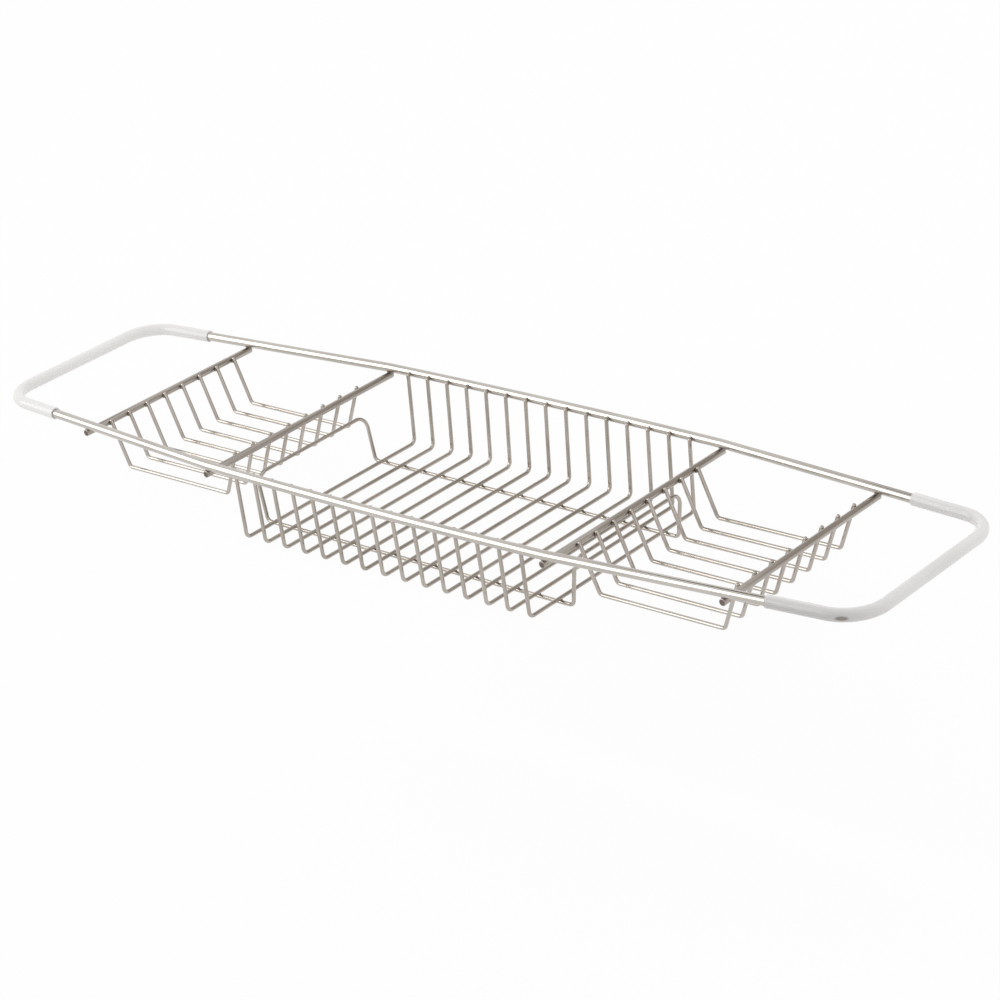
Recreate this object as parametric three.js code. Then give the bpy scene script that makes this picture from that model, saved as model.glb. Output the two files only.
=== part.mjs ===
import * as THREE from 'three';

// A welded wire bath rack that lies across a bath. One closed rod loop makes both rails and both end
// bars, plastic sleeves cover the ends that rest on the rims, a deep basket hangs in the middle and a
// shallow tray hangs at each end. X runs along the rack, Y across it and Z up. The origin is midway
// along and across, on the surface that the middle basket stands on. Lengths are in millimetres.

// Bars and wires
const rodDiameter = 6;
const crossbarDiameter = 4.6;
const wireDiameter = 2.5;
const weldGap = 0.3;

// The rod loop, measured on its centre line: the rails bow out a little between the shoulders, and beyond
// them they taper to the end bars. The end loops reach past the outer crossbars.
const middleWidth = 178;
const railBow = 2.1;
const endWidth = 136.8;
const endLoopReach = 91.7;
const shoulderRadius = 60;
const cornerRadius = 25;

// The sleeves over the loop's ends: they are pushed on by hand, and the right one reaches a little further
// along the rails
const sleeveWall = 0.7;
const sleeveClearance = 0.3;
const leftSleeveReach = 54.5;
const rightSleeveReach = 59.75;

// The crossbars under the rails: the inner ones stand off from the basket's end wires
const crossbarStandOff = 20.8;
const crossbarOverhang = 2;

// The middle basket, hung from the rails: its depth is from the rails' centre to its floor wires' centre,
// and its side walls' feet stand inside their tips
const basketWireCount = 15;
const basketWirePitch = 16.6;
const basketDepth = 48.5;
const basketWallLean = 3.35;
const basketBendRadius = 4;
const basketTipRise = 0.7;

// The closed runner wire under the basket's floor, bent up beyond the end wires into leaning end walls
const runnerSpacing = 104;
const runnerOverhang = 9.6;
const runnerWallLean = 4.4;
const runnerRise = 31.6;
const runnerFootRadius = 3.5;
const runnerTopRadius = 9;

// The end trays, hung between crossbars that stand a tray's length apart: a wall's run is the level
// distance from the crossbar's centre to the floor's corner
const trayLength = 121.3;
const trayWireCount = 8;
const trayWirePitch = 16.6;
const trayDepth = 34.9;
const trayOuterWallRun = 15.3;
const trayInnerWallRun = 15.7;
const trayBendRadius = 3;
const trayTipRise = 1;

// How finely round stretches are cut
const rodSides = 12;
const wireSides = 8;
const bowSteps = 8;
const cornerSteps = 8;
const bendSteps = 5;
const runnerFootSteps = 8;

// Sizes that follow
const rodRadius = rodDiameter / 2;
const crossbarRadius = crossbarDiameter / 2;
const wireRadius = wireDiameter / 2;
const sleeveBore = rodRadius + sleeveClearance;
const sleeveRadius = sleeveBore + sleeveWall;
const runnerHeight = wireRadius;
const basketFloorHeight = runnerHeight + wireDiameter + weldGap;
const railHeight = basketFloorHeight + basketDepth;
const crossbarHeight = railHeight - rodRadius - weldGap - crossbarRadius;
const trayFloorHeight = railHeight - trayDepth;
const basketEndPlace = (basketWireCount - 1) * basketWirePitch / 2;
const innerCrossbarPlace = basketEndPlace + crossbarStandOff;
const outerCrossbarPlace = innerCrossbarPlace + trayLength;
const endBarPlace = outerCrossbarPlace + endLoopReach - sleeveRadius;
const railSeat = rodRadius + weldGap + wireRadius;

const chrome = { color: 0xd8d4cf, roughness: 0.14, metalness: 1 };
const milkyPlastic = { color: 0xebe9e7, roughness: 0.35, metalness: 0 };

const rack = new THREE.Group();

function addPiece(name, geometry, finish) {
  const mesh = new THREE.Mesh(geometry, new THREE.MeshStandardMaterial(finish));
  mesh.name = name;
  rack.add(mesh);
  return mesh;
}

// A wire of straight runs and round bends. Its stations lie at the runs' ends and along the bends only,
// and each even share of the path is one station.
class BentWire extends THREE.Curve {
  constructor(corners, closed = false) {
    super();
    this.closed = closed;
    this.stations = [];
    corners.forEach((corner, index) => {
      const isEnd = !closed && (index === 0 || index === corners.length - 1);
      if (isEnd || !corner.radius) {
        this.stations.push(corner.place);
        return;
      }
      const before = corners[(index + corners.length - 1) % corners.length].place;
      const after = corners[(index + 1) % corners.length].place;
      this.stations.push(...bendPoints(before, corner, after));
    });
    if (closed) {
      this.stations.push(this.stations[0]);
    }
  }

  get steps() {
    return this.stations.length - 1;
  }

  getUtoTmapping(share) {
    return share;
  }

  getPoint(share, target = new THREE.Vector3()) {
    const place = share * this.steps;
    const index = Math.min(Math.floor(place), this.steps - 1);
    return target.lerpVectors(this.stations[index], this.stations[index + 1], place - index);
  }

  // The direction at a station halves the turn between the runs beside it.
  getTangent(share, target = new THREE.Vector3()) {
    const index = Math.round(share * this.steps);
    const arriving = this.runDirection(index - 1);
    const leaving = this.runDirection(index);
    return target.addVectors(arriving, leaving).normalize();
  }

  runDirection(index) {
    const last = this.steps - 1;
    let run = THREE.MathUtils.clamp(index, 0, last);
    if (this.closed) {
      run = (index + this.steps) % this.steps;
    }
    return this.stations[run + 1].clone().sub(this.stations[run]).normalize();
  }
}

// The closed tube's own frames have a corner where the section's flats should be: they are turned by
// half a side, so that a flat faces down.
class FlatFacedLoop extends BentWire {
  constructor(corners, sides) {
    super(corners, true);
    this.turn = Math.PI / sides;
  }

  computeFrenetFrames(steps, closed) {
    const frames = super.computeFrenetFrames(steps, closed);
    frames.tangents.forEach((tangent, index) => {
      frames.normals[index].applyAxisAngle(tangent, this.turn);
      frames.binormals[index].applyAxisAngle(tangent, this.turn);
    });
    return frames;
  }
}

function bendPoints(before, corner, after) {
  const arriving = before.clone().sub(corner.place).normalize();
  const leaving = after.clone().sub(corner.place).normalize();
  const halfAngle = arriving.angleTo(leaving) / 2;
  const middle = arriving.clone().add(leaving).normalize();
  const centre = corner.place.clone().addScaledVector(middle, corner.radius / Math.sin(halfAngle));
  const trim = corner.radius / Math.tan(halfAngle);
  const start = corner.place.clone().addScaledVector(arriving, trim).sub(centre);
  const axis = new THREE.Vector3().crossVectors(leaving, arriving).normalize();
  const turn = Math.PI - 2 * halfAngle;
  const points = [];
  for (let step = 0; step <= corner.steps; step += 1) {
    const point = start.clone().applyAxisAngle(axis, turn * step / corner.steps);
    points.push(point.add(centre));
  }
  return points;
}

function corner(x, y, z, radius = 0, steps = bendSteps) {
  return { place: new THREE.Vector3(x, y, z), radius, steps };
}

// A regular outline whose flats lie at the given radius, so that neighbours meet flat to flat.
function roundOutline(OutlineClass, radius, sides) {
  const points = [];
  const cornerDistance = radius / Math.cos(Math.PI / sides);
  for (let index = 0; index < sides; index += 1) {
    const angle = 2 * Math.PI * (index + 0.5) / sides;
    points.push(new THREE.Vector2(Math.cos(angle), Math.sin(angle)).multiplyScalar(cornerDistance));
  }
  return new OutlineClass(points);
}

function openWire(path, section) {
  return new THREE.ExtrudeGeometry(section, { steps: path.steps, extrudePath: path });
}

function closedWire(path, radius, sides) {
  return new THREE.TubeGeometry(path, path.steps, radius / Math.cos(Math.PI / sides), sides, true);
}

// The rail's centre line in plan, at a distance along the rack: an arc bows the middle, and beyond its
// shoulders over the inner crossbars the rail runs straight to the sharp corner that the end bend rounds.
const shoulderPlace = innerCrossbarPlace;
const shoulderWidth = middleWidth - 2 * railBow;
const bowRadius = (shoulderPlace ** 2 + railBow ** 2) / (2 * railBow);

function railOffset(along) {
  const distance = Math.abs(along);
  if (distance <= shoulderPlace) {
    return middleWidth / 2 - bowRadius + Math.sqrt(bowRadius ** 2 - distance ** 2);
  }
  const share = (distance - shoulderPlace) / (endBarPlace - shoulderPlace);
  return THREE.MathUtils.lerp(shoulderWidth, endWidth, share) / 2;
}

// One rail's corners from the left end bar to the right one, on the side that the sign gives.
function railCorners(side) {
  const corners = [corner(-endBarPlace, side * endWidth / 2, railHeight, cornerRadius, cornerSteps)];
  for (let step = 0; step <= bowSteps; step += 1) {
    const along = THREE.MathUtils.lerp(-shoulderPlace, shoulderPlace, step / bowSteps);
    const isShoulder = step === 0 || step === bowSteps;
    const radius = isShoulder ? shoulderRadius : 0;
    corners.push(corner(along, side * railOffset(along), railHeight, radius));
  }
  corners.push(corner(endBarPlace, side * endWidth / 2, railHeight, cornerRadius, cornerSteps));
  return corners;
}

function addFrameLoop() {
  const corners = [...railCorners(-1), ...railCorners(1).reverse()];
  const path = new FlatFacedLoop(corners, rodSides);
  addPiece('frame_loop', closedWire(path, rodRadius, rodSides), chrome);
}

// A sleeve follows the loop's own centre line round both corners of one end.
function addSleeve(name, end, reach) {
  const section = roundOutline(THREE.Shape, sleeveRadius, rodSides);
  section.holes.push(roundOutline(THREE.Path, sleeveBore, rodSides));
  const mouth = endBarPlace - reach;
  const path = new BentWire([
    corner(end * mouth, -railOffset(mouth), railHeight),
    corner(end * endBarPlace, -endWidth / 2, railHeight, cornerRadius, cornerSteps),
    corner(end * endBarPlace, endWidth / 2, railHeight, cornerRadius, cornerSteps),
    corner(end * mouth, railOffset(mouth), railHeight),
  ]);
  addPiece(name, openWire(path, section), milkyPlastic);
}

function addCrossbar(name, along) {
  const length = 2 * (railOffset(along) + crossbarOverhang);
  const cornerDistance = crossbarRadius / Math.cos(Math.PI / rodSides);
  const bar = new THREE.CylinderGeometry(cornerDistance, cornerDistance, length, rodSides);
  bar.rotateY(Math.PI / rodSides);
  addPiece(name, bar, chrome).position.set(along, 0, crossbarHeight);
}

// The basket's cross wires: each one's tips lie on the inner sides of the rails, so they follow the bow,
// and all the feet stand in line.
function addBasketWire(name, along) {
  const tip = railOffset(along) - railSeat;
  const tipHeight = railHeight + basketTipRise;
  const foot = middleWidth / 2 - railSeat - basketWallLean;
  const path = new BentWire([
    corner(along, -tip, tipHeight),
    corner(along, -foot, basketFloorHeight, basketBendRadius),
    corner(along, foot, basketFloorHeight, basketBendRadius),
    corner(along, tip, tipHeight),
  ]);
  addPiece(name, openWire(path, roundOutline(THREE.Shape, wireRadius, wireSides)), chrome);
}

// The runner's two long runs carry the basket's floor wires, and its raised ends close the basket.
function addRunnerLoop() {
  const side = runnerSpacing / 2;
  const foot = basketEndPlace + runnerOverhang;
  const top = foot + runnerWallLean;
  const topHeight = runnerHeight + runnerRise;
  const path = new FlatFacedLoop([
    corner(-foot, -side, runnerHeight, runnerFootRadius, runnerFootSteps),
    corner(foot, -side, runnerHeight, runnerFootRadius, runnerFootSteps),
    corner(top, -side, topHeight, runnerTopRadius),
    corner(top, side, topHeight, runnerTopRadius),
    corner(foot, side, runnerHeight, runnerFootRadius, runnerFootSteps),
    corner(-foot, side, runnerHeight, runnerFootRadius, runnerFootSteps),
    corner(-top, side, topHeight, runnerTopRadius),
    corner(-top, -side, topHeight, runnerTopRadius),
  ], wireSides);
  addPiece('runner_loop', closedWire(path, wireRadius, wireSides), chrome);
}

// A tray wall's upper end: the wire leaves the floor's corner and passes the crossbar at welding
// distance on the tray's side. The result is how far the tip lies from the crossbar's centre.
function trayTip(wallRun) {
  const rise = crossbarHeight - trayFloorHeight;
  const weldDistance = crossbarRadius / Math.cos(Math.PI / rodSides) + weldGap + wireRadius;
  const slope = Math.atan2(wallRun, rise) - Math.asin(weldDistance / Math.hypot(wallRun, rise));
  const length = Math.sqrt(wallRun ** 2 + rise ** 2 - weldDistance ** 2) + trayTipRise;
  return {
    inset: wallRun - length * Math.sin(slope),
    height: trayFloorHeight + length * Math.cos(slope),
  };
}

function addTrayWire(name, end, across) {
  const outerTip = trayTip(trayOuterWallRun);
  const innerTip = trayTip(trayInnerWallRun);
  const path = new BentWire([
    corner(end * (outerCrossbarPlace - outerTip.inset), across, outerTip.height),
    corner(end * (outerCrossbarPlace - trayOuterWallRun), across, trayFloorHeight, trayBendRadius),
    corner(end * (innerCrossbarPlace + trayInnerWallRun), across, trayFloorHeight, trayBendRadius),
    corner(end * (innerCrossbarPlace + innerTip.inset), across, innerTip.height),
  ]);
  addPiece(name, openWire(path, roundOutline(THREE.Shape, wireRadius, wireSides)), chrome);
}

addFrameLoop();
addSleeve('sleeve_left', -1, leftSleeveReach);
addSleeve('sleeve_right', 1, rightSleeveReach);

addCrossbar('crossbar_1', -outerCrossbarPlace);
addCrossbar('crossbar_2', -innerCrossbarPlace);
addCrossbar('crossbar_3', innerCrossbarPlace);
addCrossbar('crossbar_4', outerCrossbarPlace);

for (let index = 0; index < basketWireCount; index += 1) {
  const along = index * basketWirePitch - basketEndPlace;
  addBasketWire(`basket_wire_${String(index + 1).padStart(2, '0')}`, along);
}

addRunnerLoop();

for (let index = 0; index < trayWireCount; index += 1) {
  const across = (index - (trayWireCount - 1) / 2) * trayWirePitch;
  addTrayWire(`left_tray_wire_${index + 1}`, -1, across);
  addTrayWire(`right_tray_wire_${index + 1}`, 1, across);
}

export default rack;
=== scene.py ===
import math

import bmesh
import bpy
from mathutils import Matrix, Vector


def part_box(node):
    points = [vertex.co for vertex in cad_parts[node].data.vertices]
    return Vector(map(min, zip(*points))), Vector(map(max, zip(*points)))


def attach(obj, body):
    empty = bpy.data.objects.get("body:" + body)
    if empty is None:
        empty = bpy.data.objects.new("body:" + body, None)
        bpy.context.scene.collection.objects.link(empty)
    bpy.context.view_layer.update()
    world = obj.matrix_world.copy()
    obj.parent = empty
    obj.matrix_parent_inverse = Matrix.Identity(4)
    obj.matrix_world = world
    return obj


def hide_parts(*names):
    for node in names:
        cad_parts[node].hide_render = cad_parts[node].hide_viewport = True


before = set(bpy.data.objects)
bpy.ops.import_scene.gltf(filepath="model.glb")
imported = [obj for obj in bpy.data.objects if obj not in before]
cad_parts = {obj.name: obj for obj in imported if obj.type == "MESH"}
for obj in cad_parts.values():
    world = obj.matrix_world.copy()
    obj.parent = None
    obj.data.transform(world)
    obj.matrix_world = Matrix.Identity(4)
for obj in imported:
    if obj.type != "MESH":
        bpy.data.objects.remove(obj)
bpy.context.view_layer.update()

# A chrome-plated welded wire rack that lies across a bath. Each CAD node gets a smooth bent wire in its
# place, beads of weld join the wires, and two milky plastic sleeves cover the ends. Lengths are in metres.
upward = Vector((0, 0, 1))
alongX = Vector((1, 0, 0))
acrossY = Vector((0, 1, 0))
mm = 0.001

railHeight = (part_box("frame_loop")[0].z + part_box("frame_loop")[1].z) / 2


bending = {
    "fewestSteps": 2,        # in any bend
    "capInset": 1.5,         # times a cut end's rounding
    "roundingSteps": 3,      # over the rim of a cut end or a lip
}


# Wire bending, as on a bench: a ring of points starts a wire, and each run or bend carries the ring on
def startWire(bm, place, heading, radius, sides):
    for layer in ("around", "travelled", "cutEnd"):
        if not bm.verts.layers.float.get(layer):
            bm.verts.layers.float.new(layer)
    turn = heading.to_track_quat("Z", "Y").to_matrix().to_4x4()
    start = Matrix.Translation(place) @ turn
    ring = bmesh.ops.create_circle(bm, segments=sides, radius=radius, matrix=start)["verts"]
    around = bm.verts.layers.float["around"]
    for index, vert in enumerate(ring):
        vert[around] = index / sides
    edges = [edge for edge in bm.edges if edge.verts[0] in ring and edge.verts[1] in ring]
    wire = {"bm": bm, "place": place.copy(), "heading": heading.normalized(), "ring": edges}
    wire.update(length=0, first=edges)
    return wire


def ringVerts(edges):
    return list({vert for edge in edges for vert in edge.verts})


def markLength(wire, length):
    wire["length"] += length
    travelled = wire["bm"].verts.layers.float["travelled"]
    for vert in ringVerts(wire["ring"]):
        vert[travelled] = wire["length"]


def runWire(wire, length):
    grown = bmesh.ops.extrude_edge_only(wire["bm"], edges=wire["ring"])["geom"]
    verts = [part for part in grown if isinstance(part, bmesh.types.BMVert)]
    step = wire["heading"] * length
    bmesh.ops.translate(wire["bm"], vec=step, verts=verts)
    newVerts = set(verts)
    edges = [part for part in grown if isinstance(part, bmesh.types.BMEdge)]
    wire["ring"] = [edge for edge in edges if newVerts.issuperset(edge.verts)]
    wire["place"] += step
    markLength(wire, length)


def bendWire(wire, axis, angle, radius, steps):
    centre = wire["place"] + axis.cross(wire["heading"]) * radius * math.copysign(1, angle)
    turn = Matrix.Rotation(angle / steps, 3, axis)
    for step in range(steps):
        geom = ringVerts(wire["ring"]) + wire["ring"]
        spun = bmesh.ops.spin(wire["bm"], geom=geom, cent=centre, axis=axis, angle=angle / steps, steps=1,
                              use_merge=False, use_duplicate=False)["geom_last"]
        wire["ring"] = [part for part in spun if isinstance(part, bmesh.types.BMEdge)]
        wire["heading"] = turn @ wire["heading"]
        wire["place"] = centre + turn @ (wire["place"] - centre)
        markLength(wire, abs(angle) / steps * radius)


# A wire through sharp corners, each rounded to its bend radius
def wireThrough(bm, corners, radius, sides, stepAngle):
    places = [Vector(corner["place"]) for corner in corners]
    wire = startWire(bm, places[0], places[1] - places[0], radius, sides)
    for index in range(1, len(places)):
        ahead = places[index] - wire["place"]
        bend = corners[index].get("bend", 0)
        if index == len(places) - 1:
            runWire(wire, ahead.length)
            break
        leaving = (places[index + 1] - places[index]).normalized()
        angle = wire["heading"].angle(leaving)
        runWire(wire, ahead.length - bend * math.tan(angle / 2))
        axis = wire["heading"].cross(leaving).normalized()
        bendWire(wire, axis, angle, bend, max(bending["fewestSteps"], math.ceil(angle / stepAngle)))
    return wire


def roundRim(bm, ring, rounding):
    bmesh.ops.bevel(bm, geom=ring + ringVerts(ring), offset=rounding, segments=bending["roundingSteps"],
                    profile=0.5, affect="EDGES", material=-1, clamp_overlap=True)


# A cut end: the ring is closed and its rim rounded, and a dull one's face is marked for its finish
def closeEnd(bm, ring, rounding, dullness):
    cap = bmesh.ops.edgeloop_fill(bm, edges=ring)["faces"][0]
    bmesh.ops.inset_region(bm, faces=[cap], thickness=bending["capInset"] * rounding, depth=0)
    cutEnd = bm.verts.layers.float["cutEnd"]
    for vert in cap.verts:
        vert[cutEnd] = dullness
    roundRim(bm, ring, rounding)


# A map along and around each wire, for finishes that follow it: u goes round once, v is the length in metres
def unrollWire(bm):
    around = bm.verts.layers.float["around"]
    travelled = bm.verts.layers.float["travelled"]
    uv = bm.loops.layers.uv.new("unrolled")
    halfTurn = 0.5
    for face in bm.faces:
        turns = [loop.vert[around] for loop in face.loops]
        seam = max(turns) - min(turns) > halfTurn
        for loop in face.loops:
            turn = loop.vert[around]
            wrapped = turn + 1 if seam and turn < halfTurn else turn
            loop[uv].uv = (wrapped, loop.vert[travelled])


def finishPiece(bm, name, material, nodes=()):
    bmesh.ops.recalc_face_normals(bm, faces=bm.faces)
    if bm.verts.layers.float.get("around"):
        unrollWire(bm)
    for face in bm.faces:
        face.smooth = True
    mesh = bpy.data.meshes.new(name)
    bm.to_mesh(mesh)
    bm.free()
    mesh.materials.append(material)
    piece = bpy.data.objects.new(name, mesh)
    bpy.context.scene.collection.objects.link(piece)
    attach(piece, "root")
    if nodes:
        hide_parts(*nodes)
    return piece


# Materials. A noise sets roughness between its low and high levels, and colour between its blend levels
noiseLevels = {
    "low": 0.3,
    "high": 0.7,
    "blendFrom": 0.35,
    "blendTo": 0.65,
}


def newMaterial(name):
    material = bpy.data.materials.new(name)
    material.use_nodes = True
    tree = material.node_tree
    tree.nodes.clear()
    output = tree.nodes.new("ShaderNodeOutputMaterial")
    shader = tree.nodes.new("ShaderNodeBsdfPrincipled")
    tree.links.new(shader.outputs["BSDF"], output.inputs["Surface"])
    return material, tree, shader


def objectNoise(tree, scale, detail):
    place = tree.nodes.new("ShaderNodeTexCoord")
    noise = tree.nodes.new("ShaderNodeTexNoise")
    noise.inputs["Scale"].default_value = scale
    noise.inputs["Detail"].default_value = detail
    tree.links.new(place.outputs["Object"], noise.inputs["Vector"])
    return noise.outputs["Fac"]


def spread(tree, value, low, high):
    scale = tree.nodes.new("ShaderNodeMapRange")
    scale.inputs["From Min"].default_value = noiseLevels["low"]
    scale.inputs["From Max"].default_value = noiseLevels["high"]
    scale.inputs["To Min"].default_value = low
    scale.inputs["To Max"].default_value = high
    tree.links.new(value, scale.inputs["Value"])
    return scale.outputs["Result"]


def blendColours(tree, value, first, second):
    ramp = tree.nodes.new("ShaderNodeValToRGB")
    ramp.color_ramp.elements[0].position = noiseLevels["blendFrom"]
    ramp.color_ramp.elements[0].color = (*first, 1)
    ramp.color_ramp.elements[1].position = noiseLevels["blendTo"]
    ramp.color_ramp.elements[1].color = (*second, 1)
    tree.links.new(value, ramp.inputs["Fac"])
    return ramp.outputs["Color"]


def addBump(tree, shader, heights, distance, strength):
    normal = None
    for height in heights:
        bump = tree.nodes.new("ShaderNodeBump")
        bump.inputs["Strength"].default_value = strength
        bump.inputs["Distance"].default_value = distance
        tree.links.new(height, bump.inputs["Height"])
        if normal:
            tree.links.new(normal, bump.inputs["Normal"])
        normal = bump.outputs["Normal"]
    tree.links.new(normal, shader.inputs["Normal"])


# A colour mix has its factor, its two colours and its result at these sockets
def colourMix(tree, blendType):
    mix = tree.nodes.new("ShaderNodeMix")
    mix.data_type = "RGBA"
    mix.blend_type = blendType
    factor, first, second = mix.inputs[0], mix.inputs[6], mix.inputs[7]
    result = mix.outputs[2]
    return factor, first, second, result


def multiplyColours(tree, colour, by):
    factor, first, second, result = colourMix(tree, "MULTIPLY")
    factor.default_value = 1
    tree.links.new(colour, first)
    tree.links.new(by, second)
    return result


# Fine lines that the drawing die left along a wire
def drawLines(tree, acrossScale, alongScale):
    uv = tree.nodes.new("ShaderNodeUVMap")
    uv.uv_map = "unrolled"
    stretch = tree.nodes.new("ShaderNodeMapping")
    stretch.inputs["Scale"].default_value = (acrossScale, alongScale, 1)
    noise = tree.nodes.new("ShaderNodeTexNoise")
    noise.inputs["Scale"].default_value = 1
    noise.inputs["Detail"].default_value = chromeFinish["lineDetail"]
    tree.links.new(uv.outputs["UV"], stretch.inputs["Vector"])
    tree.links.new(stretch.outputs["Vector"], noise.inputs["Vector"])
    return noise.outputs["Fac"]


chromeFinish = {
    "cloudScale": 28,        # slow clouds in the plating
    "cloudDetail": 3,
    "grainScale": 900,       # fine grain of the plating
    "grainDetail": 2,
    "cutSteel": (0.17, 0.14, 0.12),
    "lineAcross": 24,        # drawing lines round the wire
    "lineAlong": 14,         # and how quickly they fade along it, per metre
    "lineDetail": 3,
    "bumpDepth": 0.01 * mm,
    "bumpStrength": 0.35,
}

# Each plating: its brightest and deepest colour, and its roughness from the cleanest places to the dullest.
# The rod's is the chrome's own colour; the bars', wires' and trays' are darker copies of it, painted shade
# for the darker reflections they show
rodPlating = {
    "bright": (0.56, 0.53, 0.49),
    "deep": (0.49, 0.46, 0.42),
    "polish": (0.10, 0.18),
}
# painted shade: the bars' chrome is darkened below the rod's to stand in for darker reflections
barPlatingPaintedShade = {
    "bright": (0.45, 0.415, 0.38),
    "deep": (0.39, 0.355, 0.32),
    "polish": (0.20, 0.28),
}
# painted shade: the wires' chrome is darkened below the rod's to stand in for darker reflections
wirePlatingPaintedShade = {
    "bright": (0.49, 0.45, 0.405),
    "deep": (0.39, 0.355, 0.315),
    "polish": (0.10, 0.18),
}
# painted shade: the trays' chrome is darkened below the rod's to stand in for darker reflections
trayPlatingPaintedShade = {
    "bright": (0.505, 0.465, 0.425),
    "deep": (0.435, 0.395, 0.355),
    "polish": (0.10, 0.18),
}


def makeChrome(name, plating):
    material, tree, shader = newMaterial(name)
    finish = chromeFinish
    clouds = objectNoise(tree, finish["cloudScale"], finish["cloudDetail"])
    grain = objectNoise(tree, finish["grainScale"], finish["grainDetail"])
    lines = drawLines(tree, finish["lineAcross"], finish["lineAlong"])
    plated = blendColours(tree, clouds, plating["deep"], plating["bright"])
    cutEnd = tree.nodes.new("ShaderNodeAttribute")
    cutEnd.attribute_name = "cutEnd"
    factor, platedColour, cutColour, result = colourMix(tree, "MIX")
    tree.links.new(cutEnd.outputs["Fac"], factor)
    tree.links.new(plated, platedColour)
    cutColour.default_value = (*finish["cutSteel"], 1)
    tree.links.new(result, shader.inputs["Base Color"])
    tree.links.new(spread(tree, lines, *plating["polish"]), shader.inputs["Roughness"])
    shader.inputs["Metallic"].default_value = 1
    addBump(tree, shader, [lines, grain], finish["bumpDepth"], finish["bumpStrength"])
    return material


# Beads of weld under the plating are duller and lumpier than the drawn wire
weldFinish = {
    "dark": (0.17, 0.14, 0.12),
    "light": (0.30, 0.27, 0.245),
    "cloudScale": 224,
    "cloudDetail": 3,
    "lumpScale": 900,
    "lumpDetail": 3,
    "polish": (0.2, 0.4),
    "bumpDepth": 0.03 * mm,
    "bumpStrength": 0.5,
}


def makeWeldMetal():
    material, tree, shader = newMaterial("weldMetal")
    finish = weldFinish
    clouds = objectNoise(tree, finish["cloudScale"], finish["cloudDetail"])
    lumps = objectNoise(tree, finish["lumpScale"], finish["lumpDetail"])
    colour = blendColours(tree, clouds, finish["dark"], finish["light"])
    tree.links.new(colour, shader.inputs["Base Color"])
    tree.links.new(spread(tree, lumps, *finish["polish"]), shader.inputs["Roughness"])
    shader.inputs["Metallic"].default_value = 1
    addBump(tree, shader, [lumps], finish["bumpDepth"], finish["bumpStrength"])
    return material


sleeveFinish = {
    "milk": (0.90, 0.883, 0.868),
    "shade": (0.85, 0.833, 0.818),
    "cloudScale": 22,
    "cloudDetail": 3,
    "rippleScale": 120,
    "rippleDetail": 2,
    "polish": (0.16, 0.24),
    "refraction": 1.45,
    "bumpDepth": 0.01 * mm,
    "bumpStrength": 0.3,
    "darkPatchTone": (0.48, 0.44, 0.42),
    "clearOfDarkPatch": (1, 1, 1),
    "darkPatchPlace": (334.2 * mm, -71.3 * mm, 52.3 * mm),
    "darkPatchReach": (7.5 * mm, 2.8 * mm, 2.8 * mm),
    "darkPatchTurn": 26.8,         # degrees
}


# The outside of the near right bend is darker in a small patch
def distanceFromDarkPatch(tree):
    finish = sleeveFinish
    place = tree.nodes.new("ShaderNodeTexCoord")
    patch = tree.nodes.new("ShaderNodeMapping")
    patch.vector_type = "TEXTURE"
    patch.inputs["Location"].default_value = finish["darkPatchPlace"]
    patch.inputs["Rotation"].default_value = (0, 0, math.radians(finish["darkPatchTurn"]))
    patch.inputs["Scale"].default_value = finish["darkPatchReach"]
    length = tree.nodes.new("ShaderNodeVectorMath")
    length.operation = "LENGTH"
    tree.links.new(place.outputs["Object"], patch.inputs["Vector"])
    tree.links.new(patch.outputs["Vector"], length.inputs[0])
    return length.outputs["Value"]


def makeMilkyPlastic():
    material, tree, shader = newMaterial("milkyPlastic")
    finish = sleeveFinish
    clouds = objectNoise(tree, finish["cloudScale"], finish["cloudDetail"])
    ripple = objectNoise(tree, finish["rippleScale"], finish["rippleDetail"])
    milk = blendColours(tree, clouds, finish["shade"], finish["milk"])
    # the milky colour is darkened in a small patch on the outside of the near right bend
    darkPatchFactor = blendColours(tree, distanceFromDarkPatch(tree), finish["darkPatchTone"], finish["clearOfDarkPatch"])
    tree.links.new(multiplyColours(tree, milk, darkPatchFactor), shader.inputs["Base Color"])
    tree.links.new(spread(tree, ripple, *finish["polish"]), shader.inputs["Roughness"])
    shader.inputs["IOR"].default_value = finish["refraction"]
    addBump(tree, shader, [ripple], finish["bumpDepth"], finish["bumpStrength"])
    return material


rodChrome = makeChrome("rodChrome", rodPlating)
# The bar, wire and tray chromes carry painted shade in their colour
barChrome = makeChrome("barChrome", barPlatingPaintedShade)
wireChrome = makeChrome("wireChrome", wirePlatingPaintedShade)
trayChrome = makeChrome("trayChrome", trayPlatingPaintedShade)
weldMetal = makeWeldMetal()
milkyPlastic = makeMilkyPlastic()


# The rod loop: rails that bow out a little between the shoulders, taper past them and turn into the end bars
frameRod = {
    "radius": 3 * mm,
    "middleWidth": 178 * mm,
    "bow": 2.1 * mm,
    "endWidth": 136.8 * mm,
    "shoulderBend": 60 * mm,
    "cornerBend": 25 * mm,
    "sides": 40,
    "bowSteps": 24,
    "shoulderSteps": 3,
    "cornerSteps": 30,
    "joinWithin": 0.05 * mm,
}
sleeve = {
    "radius": 4 * mm,
    "bore": 3.3 * mm,
    "leftReach": 54.5 * mm,
    "rightReach": 59.75 * mm,
    "lip": 0.25 * mm,
    "sides": 40,
    "stepAngle": math.radians(3),
}
shoulder = (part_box("crossbar_3")[0].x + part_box("crossbar_3")[1].x) / 2
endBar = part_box("sleeve_right")[1].x - sleeve["radius"]
bowRadius = (shoulder ** 2 + frameRod["bow"] ** 2) / (2 * frameRod["bow"])
shoulderWidth = frameRod["middleWidth"] - 2 * frameRod["bow"]


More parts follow.
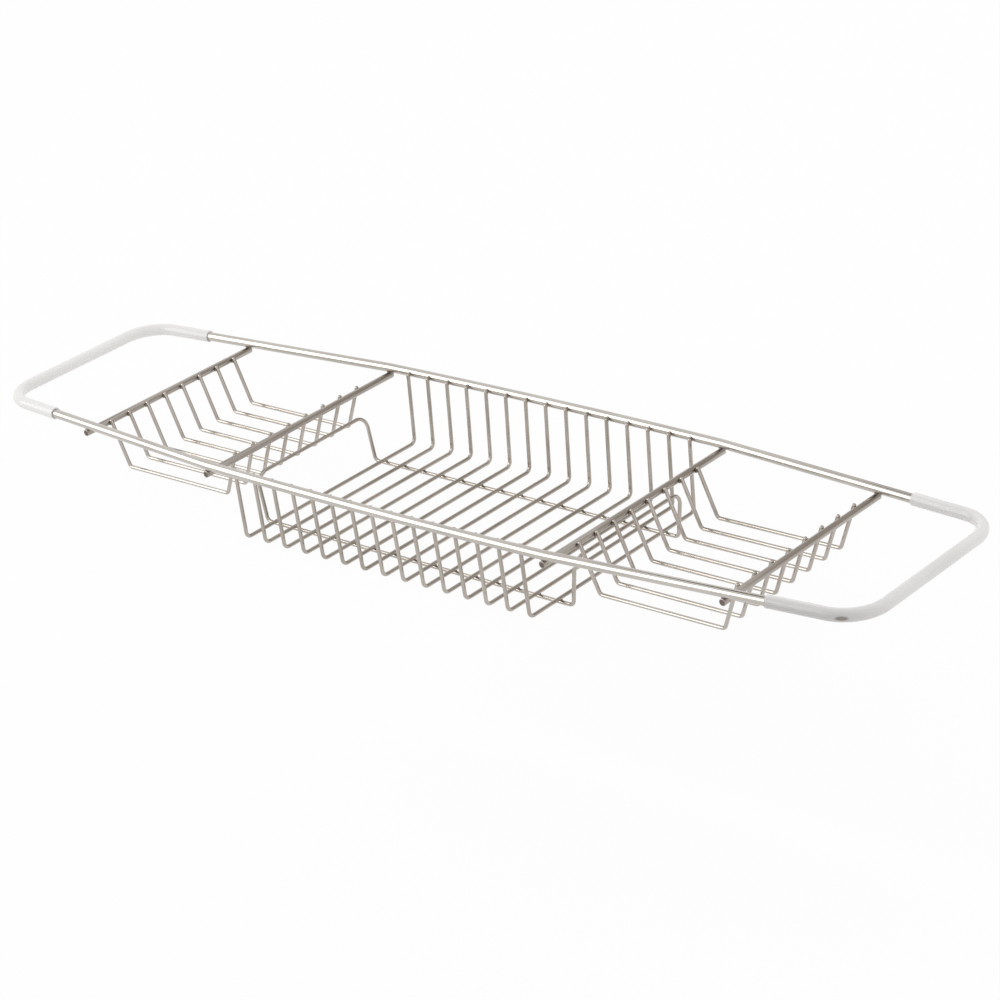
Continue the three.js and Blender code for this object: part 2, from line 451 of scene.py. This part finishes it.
def railOffset(along):
    distance = abs(along)
    if distance <= shoulder:
        return frameRod["middleWidth"] / 2 - bowRadius + math.sqrt(bowRadius ** 2 - distance ** 2)
    share = (distance - shoulder) / (endBar - shoulder)
    return (shoulderWidth + share * (frameRod["endWidth"] - shoulderWidth)) / 2


# Starts at the middle of the near rail, goes round the right end and comes back round the left
def makeFrameRod():
    bm = bmesh.new()
    start = Vector((0, -railOffset(0), railHeight))
    wire = startWire(bm, start, alongX, frameRod["radius"], frameRod["sides"])
    taper = math.atan2((shoulderWidth - frameRod["endWidth"]) / 2, endBar - shoulder)
    bowAngle = math.asin(shoulder / bowRadius)
    shoulderAngle = taper - bowAngle
    shoulderTrim = frameRod["shoulderBend"] * math.tan(shoulderAngle / 2)
    trimmedBow = bowAngle - shoulderTrim / bowRadius
    cornerAngle = math.pi / 2 - taper
    cornerTrim = frameRod["cornerBend"] * math.tan(cornerAngle / 2)
    taperRun = math.hypot(endBar - shoulder, (shoulderWidth - frameRod["endWidth"]) / 2)
    straight = taperRun - shoulderTrim - cornerTrim
    for end in ("right", "left"):
        bendWire(wire, upward, trimmedBow, bowRadius, frameRod["bowSteps"])
        bendWire(wire, upward, taper - trimmedBow, frameRod["shoulderBend"], frameRod["shoulderSteps"])
        runWire(wire, straight)
        bendWire(wire, upward, cornerAngle, frameRod["cornerBend"], frameRod["cornerSteps"])
        runWire(wire, frameRod["endWidth"] - 2 * cornerTrim)
        bendWire(wire, upward, cornerAngle, frameRod["cornerBend"], frameRod["cornerSteps"])
        runWire(wire, straight)
        bendWire(wire, upward, taper - trimmedBow, frameRod["shoulderBend"], frameRod["shoulderSteps"])
        bendWire(wire, upward, trimmedBow, bowRadius, frameRod["bowSteps"])
        print("frame rod bent round its", end, "end")
    gap = (wire["place"] - start).length / mm
    print(f"frame rod closes within {gap:.4f} mm")
    bmesh.ops.remove_doubles(bm, verts=bm.verts, dist=frameRod["joinWithin"])
    finishPiece(bm, "frameRod", rodChrome, ["frame_loop"])


# A tube over the loop's end: outer and inner skins follow the rod, and rounded lips join them at the mouths
def makeSleeve(name, end, reach, node):
    bm = bmesh.new()
    mouth = endBar - reach
    corners = [
        {"place": (end * mouth, -railOffset(mouth), railHeight)},
        {"place": (end * endBar, -frameRod["endWidth"] / 2, railHeight), "bend": frameRod["cornerBend"]},
        {"place": (end * endBar, frameRod["endWidth"] / 2, railHeight), "bend": frameRod["cornerBend"]},
        {"place": (end * mouth, railOffset(mouth), railHeight)},
    ]
    outer = wireThrough(bm, corners, sleeve["radius"], sleeve["sides"], sleeve["stepAngle"])
    inner = wireThrough(bm, corners, sleeve["bore"], sleeve["sides"], sleeve["stepAngle"])
    for outerRing, innerRing in ((outer["first"], inner["first"]), (outer["ring"], inner["ring"])):
        bmesh.ops.bridge_loops(bm, edges=outerRing + innerRing)
        roundRim(bm, outerRing + innerRing, sleeve["lip"])
    finishPiece(bm, name, milkyPlastic, [node])


print("frame rod and sleeves")
makeFrameRod()
makeSleeve("sleeveLeft", -1, sleeve["leftReach"], "sleeve_left")
makeSleeve("sleeveRight", 1, sleeve["rightReach"], "sleeve_right")


# Crossbars under the rails
crossbar = {
    "count": 4,
    "radius": 2.3 * mm,
    "facets": 12,            # of the CAD's bar, whose flats the tray wires lie against
    "overhang": 2 * mm,
    "endRounding": 0.5 * mm,
    "endDullness": 1,
    "sides": 32,
    "weldGap": 0.3 * mm,
}
crossbarHeight = railHeight - frameRod["radius"] - crossbar["weldGap"] - crossbar["radius"]


def middleOf(node):
    low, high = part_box(node)
    return (low + high) / 2


def makeCrossbar(number):
    node = f"crossbar_{number}"
    along = middleOf(node).x
    half = railOffset(along) + crossbar["overhang"]
    bm = bmesh.new()
    start = Vector((along, -half, crossbarHeight))
    bar = startWire(bm, start, acrossY, crossbar["radius"], crossbar["sides"])
    runWire(bar, 2 * half)
    for ring in (bar["first"], bar["ring"]):
        closeEnd(bm, ring, crossbar["endRounding"], crossbar["endDullness"])
    finishPiece(bm, f"crossbar{number}", barChrome, [node])


print("crossbars")
for number in range(1, crossbar["count"] + 1):
    makeCrossbar(number)


# The basket's cross wires: tips on the inner sides of the rails, feet in line on the runner
basketWire = {
    "count": 15,
    "radius": 1.25 * mm,
    "depth": 48.5 * mm,
    "wallLean": 3.35 * mm,
    "bend": 4 * mm,
    "tipRise": 0.7 * mm,
    "endRounding": 0.8 * mm,
    "endDullness": 0.3,
    "sides": 20,
    "stepAngle": math.radians(6),
}
runner = {
    "spacing": 104 * mm,
    "overhang": 9.6 * mm,
    "wallLean": 4.4 * mm,
    "rise": 31.6 * mm,
    "footBend": 3.5 * mm,
    "topBend": 9 * mm,
    "sides": 20,
    "stepAngle": math.radians(6),
    "joinWithin": 0.02 * mm,
}
weldGap = crossbar["weldGap"]
wireRadius = basketWire["radius"]
basketFloor = railHeight - basketWire["depth"]
railSeat = frameRod["radius"] + weldGap + wireRadius


def makeBasketWire(number):
    node = f"basket_wire_{number:02d}"
    along = middleOf(node).x
    tip = railOffset(along) - railSeat
    tipHeight = railHeight + basketWire["tipRise"]
    foot = frameRod["middleWidth"] / 2 - railSeat - basketWire["wallLean"]
    bm = bmesh.new()
    wire = wireThrough(bm, [
        {"place": (along, -tip, tipHeight)},
        {"place": (along, -foot, basketFloor), "bend": basketWire["bend"]},
        {"place": (along, foot, basketFloor), "bend": basketWire["bend"]},
        {"place": (along, tip, tipHeight)},
    ], wireRadius, basketWire["sides"], basketWire["stepAngle"])
    for ring in (wire["first"], wire["ring"]):
        closeEnd(bm, ring, basketWire["endRounding"], basketWire["endDullness"])
    finishPiece(bm, f"basketWire{number:02d}", wireChrome, [node])


# The runner starts in the middle of its near long run and comes back to it
def makeRunner():
    side = runner["spacing"] / 2
    foot = middleOf("basket_wire_15").x + runner["overhang"]
    top = foot + runner["wallLean"]
    low = wireRadius
    high = low + runner["rise"]
    footBend = runner["footBend"]
    topBend = runner["topBend"]
    bm = bmesh.new()
    wireThrough(bm, [
        {"place": (0, -side, low)},
        {"place": (foot, -side, low), "bend": footBend},
        {"place": (top, -side, high), "bend": topBend},
        {"place": (top, side, high), "bend": topBend},
        {"place": (foot, side, low), "bend": footBend},
        {"place": (-foot, side, low), "bend": footBend},
        {"place": (-top, side, high), "bend": topBend},
        {"place": (-top, -side, high), "bend": topBend},
        {"place": (-foot, -side, low), "bend": footBend},
        {"place": (0, -side, low)},
    ], wireRadius, runner["sides"], runner["stepAngle"])
    bmesh.ops.remove_doubles(bm, verts=bm.verts, dist=runner["joinWithin"])
    finishPiece(bm, "runner", wireChrome, ["runner_loop"])


print("basket")
for number in range(1, basketWire["count"] + 1):
    makeBasketWire(number)
makeRunner()


# The end trays: long wires hung between two crossbars
trayWire = {
    "count": 8,
    "pitch": 16.6 * mm,
    "depth": 34.9 * mm,
    "outerWallRun": 15.3 * mm,
    "innerWallRun": 15.7 * mm,
    "bend": 3 * mm,
    "tipRise": 1 * mm,
    "endRounding": 0.8 * mm,
    "endDullness": 0,
    "sides": 20,
    "stepAngle": math.radians(6),
}
outerBar = middleOf("crossbar_4").x
innerBar = middleOf("crossbar_3").x
trayFloor = railHeight - trayWire["depth"]


# A wall leans from the floor's corner past the crossbar, at welding distance on the tray's side
def trayWall(run):
    rise = crossbarHeight - trayFloor
    weldDistance = crossbar["radius"] / math.cos(math.pi / crossbar["facets"]) + weldGap + wireRadius
    slope = math.atan2(run, rise) - math.asin(weldDistance / math.hypot(run, rise))
    length = math.sqrt(run ** 2 + rise ** 2 - weldDistance ** 2)
    tip = length + trayWire["tipRise"]
    inset = run - tip * math.sin(slope)
    height = trayFloor + tip * math.cos(slope)
    return {"slope": slope, "inset": inset, "height": height}


def trayAcross(number):
    return (number - (trayWire["count"] + 1) / 2) * trayWire["pitch"]


def makeTrayWire(side, end, number):
    outer = trayWall(trayWire["outerWallRun"])
    inner = trayWall(trayWire["innerWallRun"])
    across = trayAcross(number)
    outerCorner = outerBar - trayWire["outerWallRun"]
    innerCorner = innerBar + trayWire["innerWallRun"]
    bm = bmesh.new()
    wire = wireThrough(bm, [
        {"place": (end * (outerBar - outer["inset"]), across, outer["height"])},
        {"place": (end * outerCorner, across, trayFloor), "bend": trayWire["bend"]},
        {"place": (end * innerCorner, across, trayFloor), "bend": trayWire["bend"]},
        {"place": (end * (innerBar + inner["inset"]), across, inner["height"])},
    ], wireRadius, trayWire["sides"], trayWire["stepAngle"])
    for ring in (wire["first"], wire["ring"]):
        closeEnd(bm, ring, trayWire["endRounding"], trayWire["endDullness"])
    finishPiece(bm, f"{side}TrayWire{number}", trayChrome, [f"{side}_tray_wire_{number}"])


print("trays")
for number in range(1, trayWire["count"] + 1):
    makeTrayWire("left", -1, number)
    makeTrayWire("right", 1, number)


# Beads of weld that fill the gap where two wires cross, flattened between them
weld = {
    "wireSpread": 1.15 * mm,
    "rodSpread": 1.6 * mm,
    "depth": 0.75 * mm,
    "across": 14,
    "rings": 8,
}


def addBead(bm, place, towards, spreadA, spreadB):
    turn = towards.to_track_quat("Z", "Y").to_matrix().to_4x4()
    shape = Matrix.Diagonal((spreadA, spreadB, weld["depth"], 1))
    bmesh.ops.create_uvsphere(bm, u_segments=weld["across"], v_segments=weld["rings"], radius=1,
                              matrix=Matrix.Translation(place) @ turn @ shape)


def makeRunnerWelds():
    bm = bmesh.new()
    height = 2 * wireRadius + weldGap / 2
    for number in range(1, basketWire["count"] + 1):
        along = middleOf(f"basket_wire_{number:02d}").x
        for side in (-1, 1):
            place = Vector((along, side * runner["spacing"] / 2, height))
            addBead(bm, place, upward, weld["wireSpread"], weld["wireSpread"])
    finishPiece(bm, "runnerWelds", weldMetal)


def makeRailWelds():
    bm = bmesh.new()
    for number in range(1, basketWire["count"] + 1):
        along = middleOf(f"basket_wire_{number:02d}").x
        for side in (-1, 1):
            inward = frameRod["radius"] + weldGap / 2
            place = Vector((along, side * (railOffset(along) - inward), railHeight))
            addBead(bm, place, acrossY, weld["wireSpread"], weld["rodSpread"])
    finishPiece(bm, "railWelds", weldMetal)


def makeTrayWelds():
    bm = bmesh.new()
    for end in (-1, 1):
        for bar, towards, run in ((outerBar, -1, "outerWallRun"), (innerBar, 1, "innerWallRun")):
            slope = trayWall(trayWire[run])["slope"]
            outward = Vector((end * towards * math.cos(slope), 0, -math.sin(slope)))
            reach = crossbar["radius"] + weldGap / 2
            for number in range(1, trayWire["count"] + 1):
                place = Vector((end * bar, trayAcross(number), crossbarHeight)) + outward * reach
                addBead(bm, place, outward, weld["wireSpread"], weld["wireSpread"])
    finishPiece(bm, "trayWelds", weldMetal)


def makeCrossbarWelds():
    bm = bmesh.new()
    height = railHeight - frameRod["radius"] - weldGap / 2
    for number in range(1, crossbar["count"] + 1):
        along = middleOf(f"crossbar_{number}").x
        for side in (-1, 1):
            place = Vector((along, side * railOffset(along), height))
            addBead(bm, place, upward, weld["rodSpread"], weld["rodSpread"])
    finishPiece(bm, "crossbarWelds", weldMetal)


print("welds")
makeRunnerWelds()
makeRailWelds()
makeTrayWelds()
makeCrossbarWelds()


# The photograph's camera. The offset is where the rack's middle, at the rails' height, lies in the camera's
# view: right, down and ahead. Angles are in degrees.
photoView = {
    "azimuth": 42.5384,
    "elevation": 24.6356,
    "roll": -6.5811,
    "lens": 115.8767,
    "sensor": 36,
    "reach": 20,
    "offset": (-24.6619 * mm, -28.2965 * mm, 2000.4858 * mm),
}


def makeCamera():
    azimuth = math.radians(photoView["azimuth"])
    elevation = math.radians(photoView["elevation"])
    roll = math.radians(photoView["roll"])
    level = math.cos(elevation)
    back = Vector((math.sin(azimuth) * level, -math.cos(azimuth) * level, math.sin(elevation)))
    right = Vector((math.cos(azimuth), math.sin(azimuth), 0))
    down = -back.cross(right)
    rolledRight = right * math.cos(roll) - down * math.sin(roll)
    rolledDown = right * math.sin(roll) + down * math.cos(roll)
    offset = photoView["offset"]
    place = back * offset[2] - rolledRight * offset[0] - rolledDown * offset[1] + upward * railHeight
    turn = Matrix((rolledRight, -rolledDown, back)).transposed().to_4x4()
    lens = bpy.data.cameras.new("photoCamera")
    lens.sensor_fit = "HORIZONTAL"
    lens.sensor_width = photoView["sensor"]
    lens.lens = photoView["lens"]
    lens.clip_end = photoView["reach"]
    camera = bpy.data.objects.new("photoCamera", lens)
    camera.matrix_world = Matrix.Translation(place) @ turn
    bpy.context.scene.collection.objects.link(camera)
    bpy.context.scene.camera = camera


# The studio: a white floor, a white surround, soft lamps and three cards. Two of them draw the dark lines in
# the chrome, and the third holds back light from the near right run of sleeve
studio = {
    "floorSize": 12,
    "floorColour": (0.88, 0.88, 0.88),
    "floorLift": 0.955,        # how far the floor is lifted to white for the eye and for reflections
    "roomFill": 0.85,          # light from the surround on dull surfaces
    "lamps": [
        {"name": "keyLamp", "place": (-1.6, -1.75, 1.12), "size": (2.4, 2.1), "power": 36,
         "colour": (1, 0.995, 0.985), "onSurfaces": False, "inChrome": True},
        {"name": "leftLamp", "place": (-1.0, -0.5, 0.45), "size": (0.5, 0.5), "power": 1.1,
         "colour": (1, 1, 1), "onSurfaces": True, "inChrome": False},
        {"name": "backLamp", "place": (-0.2, 1.06, 1.18), "size": (0.9, 0.5), "power": 2.1,
         "colour": (1, 1, 1), "onSurfaces": True, "inChrome": False},
    ],
    "cards": [
        {"name": "backCard", "place": (0.6, 1.1, 0.68), "size": (2.2, 1.34), "spin": 0,
         "facing": (0, 1, 0), "colour": (0.56, 0.525, 0.49), "onSurfaces": False, "inChrome": True},
        {"name": "overCard", "place": (-0.4, 0.39, 1.3), "size": (0.5, 0.6), "spin": 20.8,
         "facing": (0, 0, 1), "colour": (0.09, 0.08, 0.07), "onSurfaces": False, "inChrome": True},
        {"name": "frontCard", "place": (0.32, -0.195, 0.1), "size": (0.36, 0.14), "spin": 0,
         "facing": (0, 1, 0), "colour": (0.2, 0.195, 0.19), "onSurfaces": True, "inChrome": False},
    ],
}


def lightPathWhite(tree):
    path = tree.nodes.new("ShaderNodeLightPath")
    first = tree.nodes.new("ShaderNodeMath")
    first.operation = "MAXIMUM"
    second = tree.nodes.new("ShaderNodeMath")
    second.operation = "MAXIMUM"
    tree.links.new(path.outputs["Is Camera Ray"], first.inputs[0])
    tree.links.new(path.outputs["Is Glossy Ray"], first.inputs[1])
    tree.links.new(first.outputs[0], second.inputs[0])
    tree.links.new(path.outputs["Is Transmission Ray"], second.inputs[1])
    return second.outputs[0]


def makeSurround():
    world = bpy.data.worlds.new("whiteSurround")
    bpy.context.scene.world = world
    world.use_nodes = True
    tree = world.node_tree
    tree.nodes.clear()
    output = tree.nodes.new("ShaderNodeOutputWorld")
    seen = tree.nodes.new("ShaderNodeBackground")
    seen.inputs["Color"].default_value = (1, 1, 1, 1)
    seen.inputs["Strength"].default_value = 1
    fill = tree.nodes.new("ShaderNodeBackground")
    fill.inputs["Color"].default_value = (1, 1, 1, 1)
    fill.inputs["Strength"].default_value = studio["roomFill"]
    mix = tree.nodes.new("ShaderNodeMixShader")
    tree.links.new(lightPathWhite(tree), mix.inputs["Fac"])
    tree.links.new(fill.outputs[0], mix.inputs[1])
    tree.links.new(seen.outputs[0], mix.inputs[2])
    tree.links.new(mix.outputs[0], output.inputs["Surface"])


def makeFloor():
    bm = bmesh.new()
    bmesh.ops.create_grid(bm, x_segments=1, y_segments=1, size=studio["floorSize"] / 2)
    mesh = bpy.data.meshes.new("floor")
    bm.to_mesh(mesh)
    bm.free()
    material = bpy.data.materials.new("whitePaper")
    material.use_nodes = True
    tree = material.node_tree
    tree.nodes.clear()
    output = tree.nodes.new("ShaderNodeOutputMaterial")
    paper = tree.nodes.new("ShaderNodeBsdfDiffuse")
    paper.inputs["Color"].default_value = (*studio["floorColour"], 1)
    white = tree.nodes.new("ShaderNodeEmission")
    white.inputs["Color"].default_value = (1, 1, 1, 1)
    lift = tree.nodes.new("ShaderNodeMath")
    lift.operation = "MULTIPLY"
    lift.inputs[1].default_value = studio["floorLift"]
    mix = tree.nodes.new("ShaderNodeMixShader")
    tree.links.new(lightPathWhite(tree), lift.inputs[0])
    tree.links.new(lift.outputs[0], mix.inputs["Fac"])
    tree.links.new(paper.outputs[0], mix.inputs[1])
    tree.links.new(white.outputs[0], mix.inputs[2])
    tree.links.new(mix.outputs[0], output.inputs["Surface"])
    mesh.materials.append(material)
    floor = bpy.data.objects.new("floor", mesh)
    bpy.context.scene.collection.objects.link(floor)


def makeLamp(lamp):
    light = bpy.data.lights.new(lamp["name"], "AREA")
    light.shape = "RECTANGLE"
    light.size, light.size_y = lamp["size"]
    light.energy = lamp["power"]
    light.color = lamp["colour"]
    holder = bpy.data.objects.new(lamp["name"], light)
    place = Vector(lamp["place"])
    holder.location = place
    holder.rotation_euler = place.to_track_quat("Z", "Y").to_euler()
    holder.visible_diffuse = lamp["onSurfaces"]
    holder.visible_glossy = lamp["inChrome"]
    bpy.context.scene.collection.objects.link(holder)


# The camera sees no card. Reflections see some of them, and dull surfaces see the one near the right end
def makeCard(card):
    bm = bmesh.new()
    bmesh.ops.create_grid(bm, x_segments=1, y_segments=1, size=0.5)
    bmesh.ops.scale(bm, vec=(*card["size"], 1), verts=bm.verts)
    spin = Matrix.Rotation(math.radians(card["spin"]), 4, "Z")
    turn = Vector(card["facing"]).to_track_quat("Z", "Y").to_matrix().to_4x4()
    place = Matrix.Translation(card["place"]) @ turn @ spin
    bmesh.ops.transform(bm, matrix=place, verts=bm.verts)
    mesh = bpy.data.meshes.new(card["name"])
    bm.to_mesh(mesh)
    bm.free()
    material = bpy.data.materials.new(card["name"])
    material.use_nodes = True
    tree = material.node_tree
    tree.nodes.clear()
    output = tree.nodes.new("ShaderNodeOutputMaterial")
    tone = tree.nodes.new("ShaderNodeEmission")
    tone.inputs["Color"].default_value = (*card["colour"], 1)
    tree.links.new(tone.outputs[0], output.inputs["Surface"])
    mesh.materials.append(material)
    piece = bpy.data.objects.new(card["name"], mesh)
    bpy.context.scene.collection.objects.link(piece)
    piece.visible_camera = False
    piece.visible_diffuse = card["onSurfaces"]
    piece.visible_glossy = card["inChrome"]
    piece.visible_transmission = False
    piece.visible_shadow = False


print("studio")
makeCamera()
makeSurround()
makeFloor()
for lamp in studio["lamps"]:
    makeLamp(lamp)
for card in studio["cards"]:
    makeCard(card)
bpy.context.scene.view_settings.view_transform = "Standard"
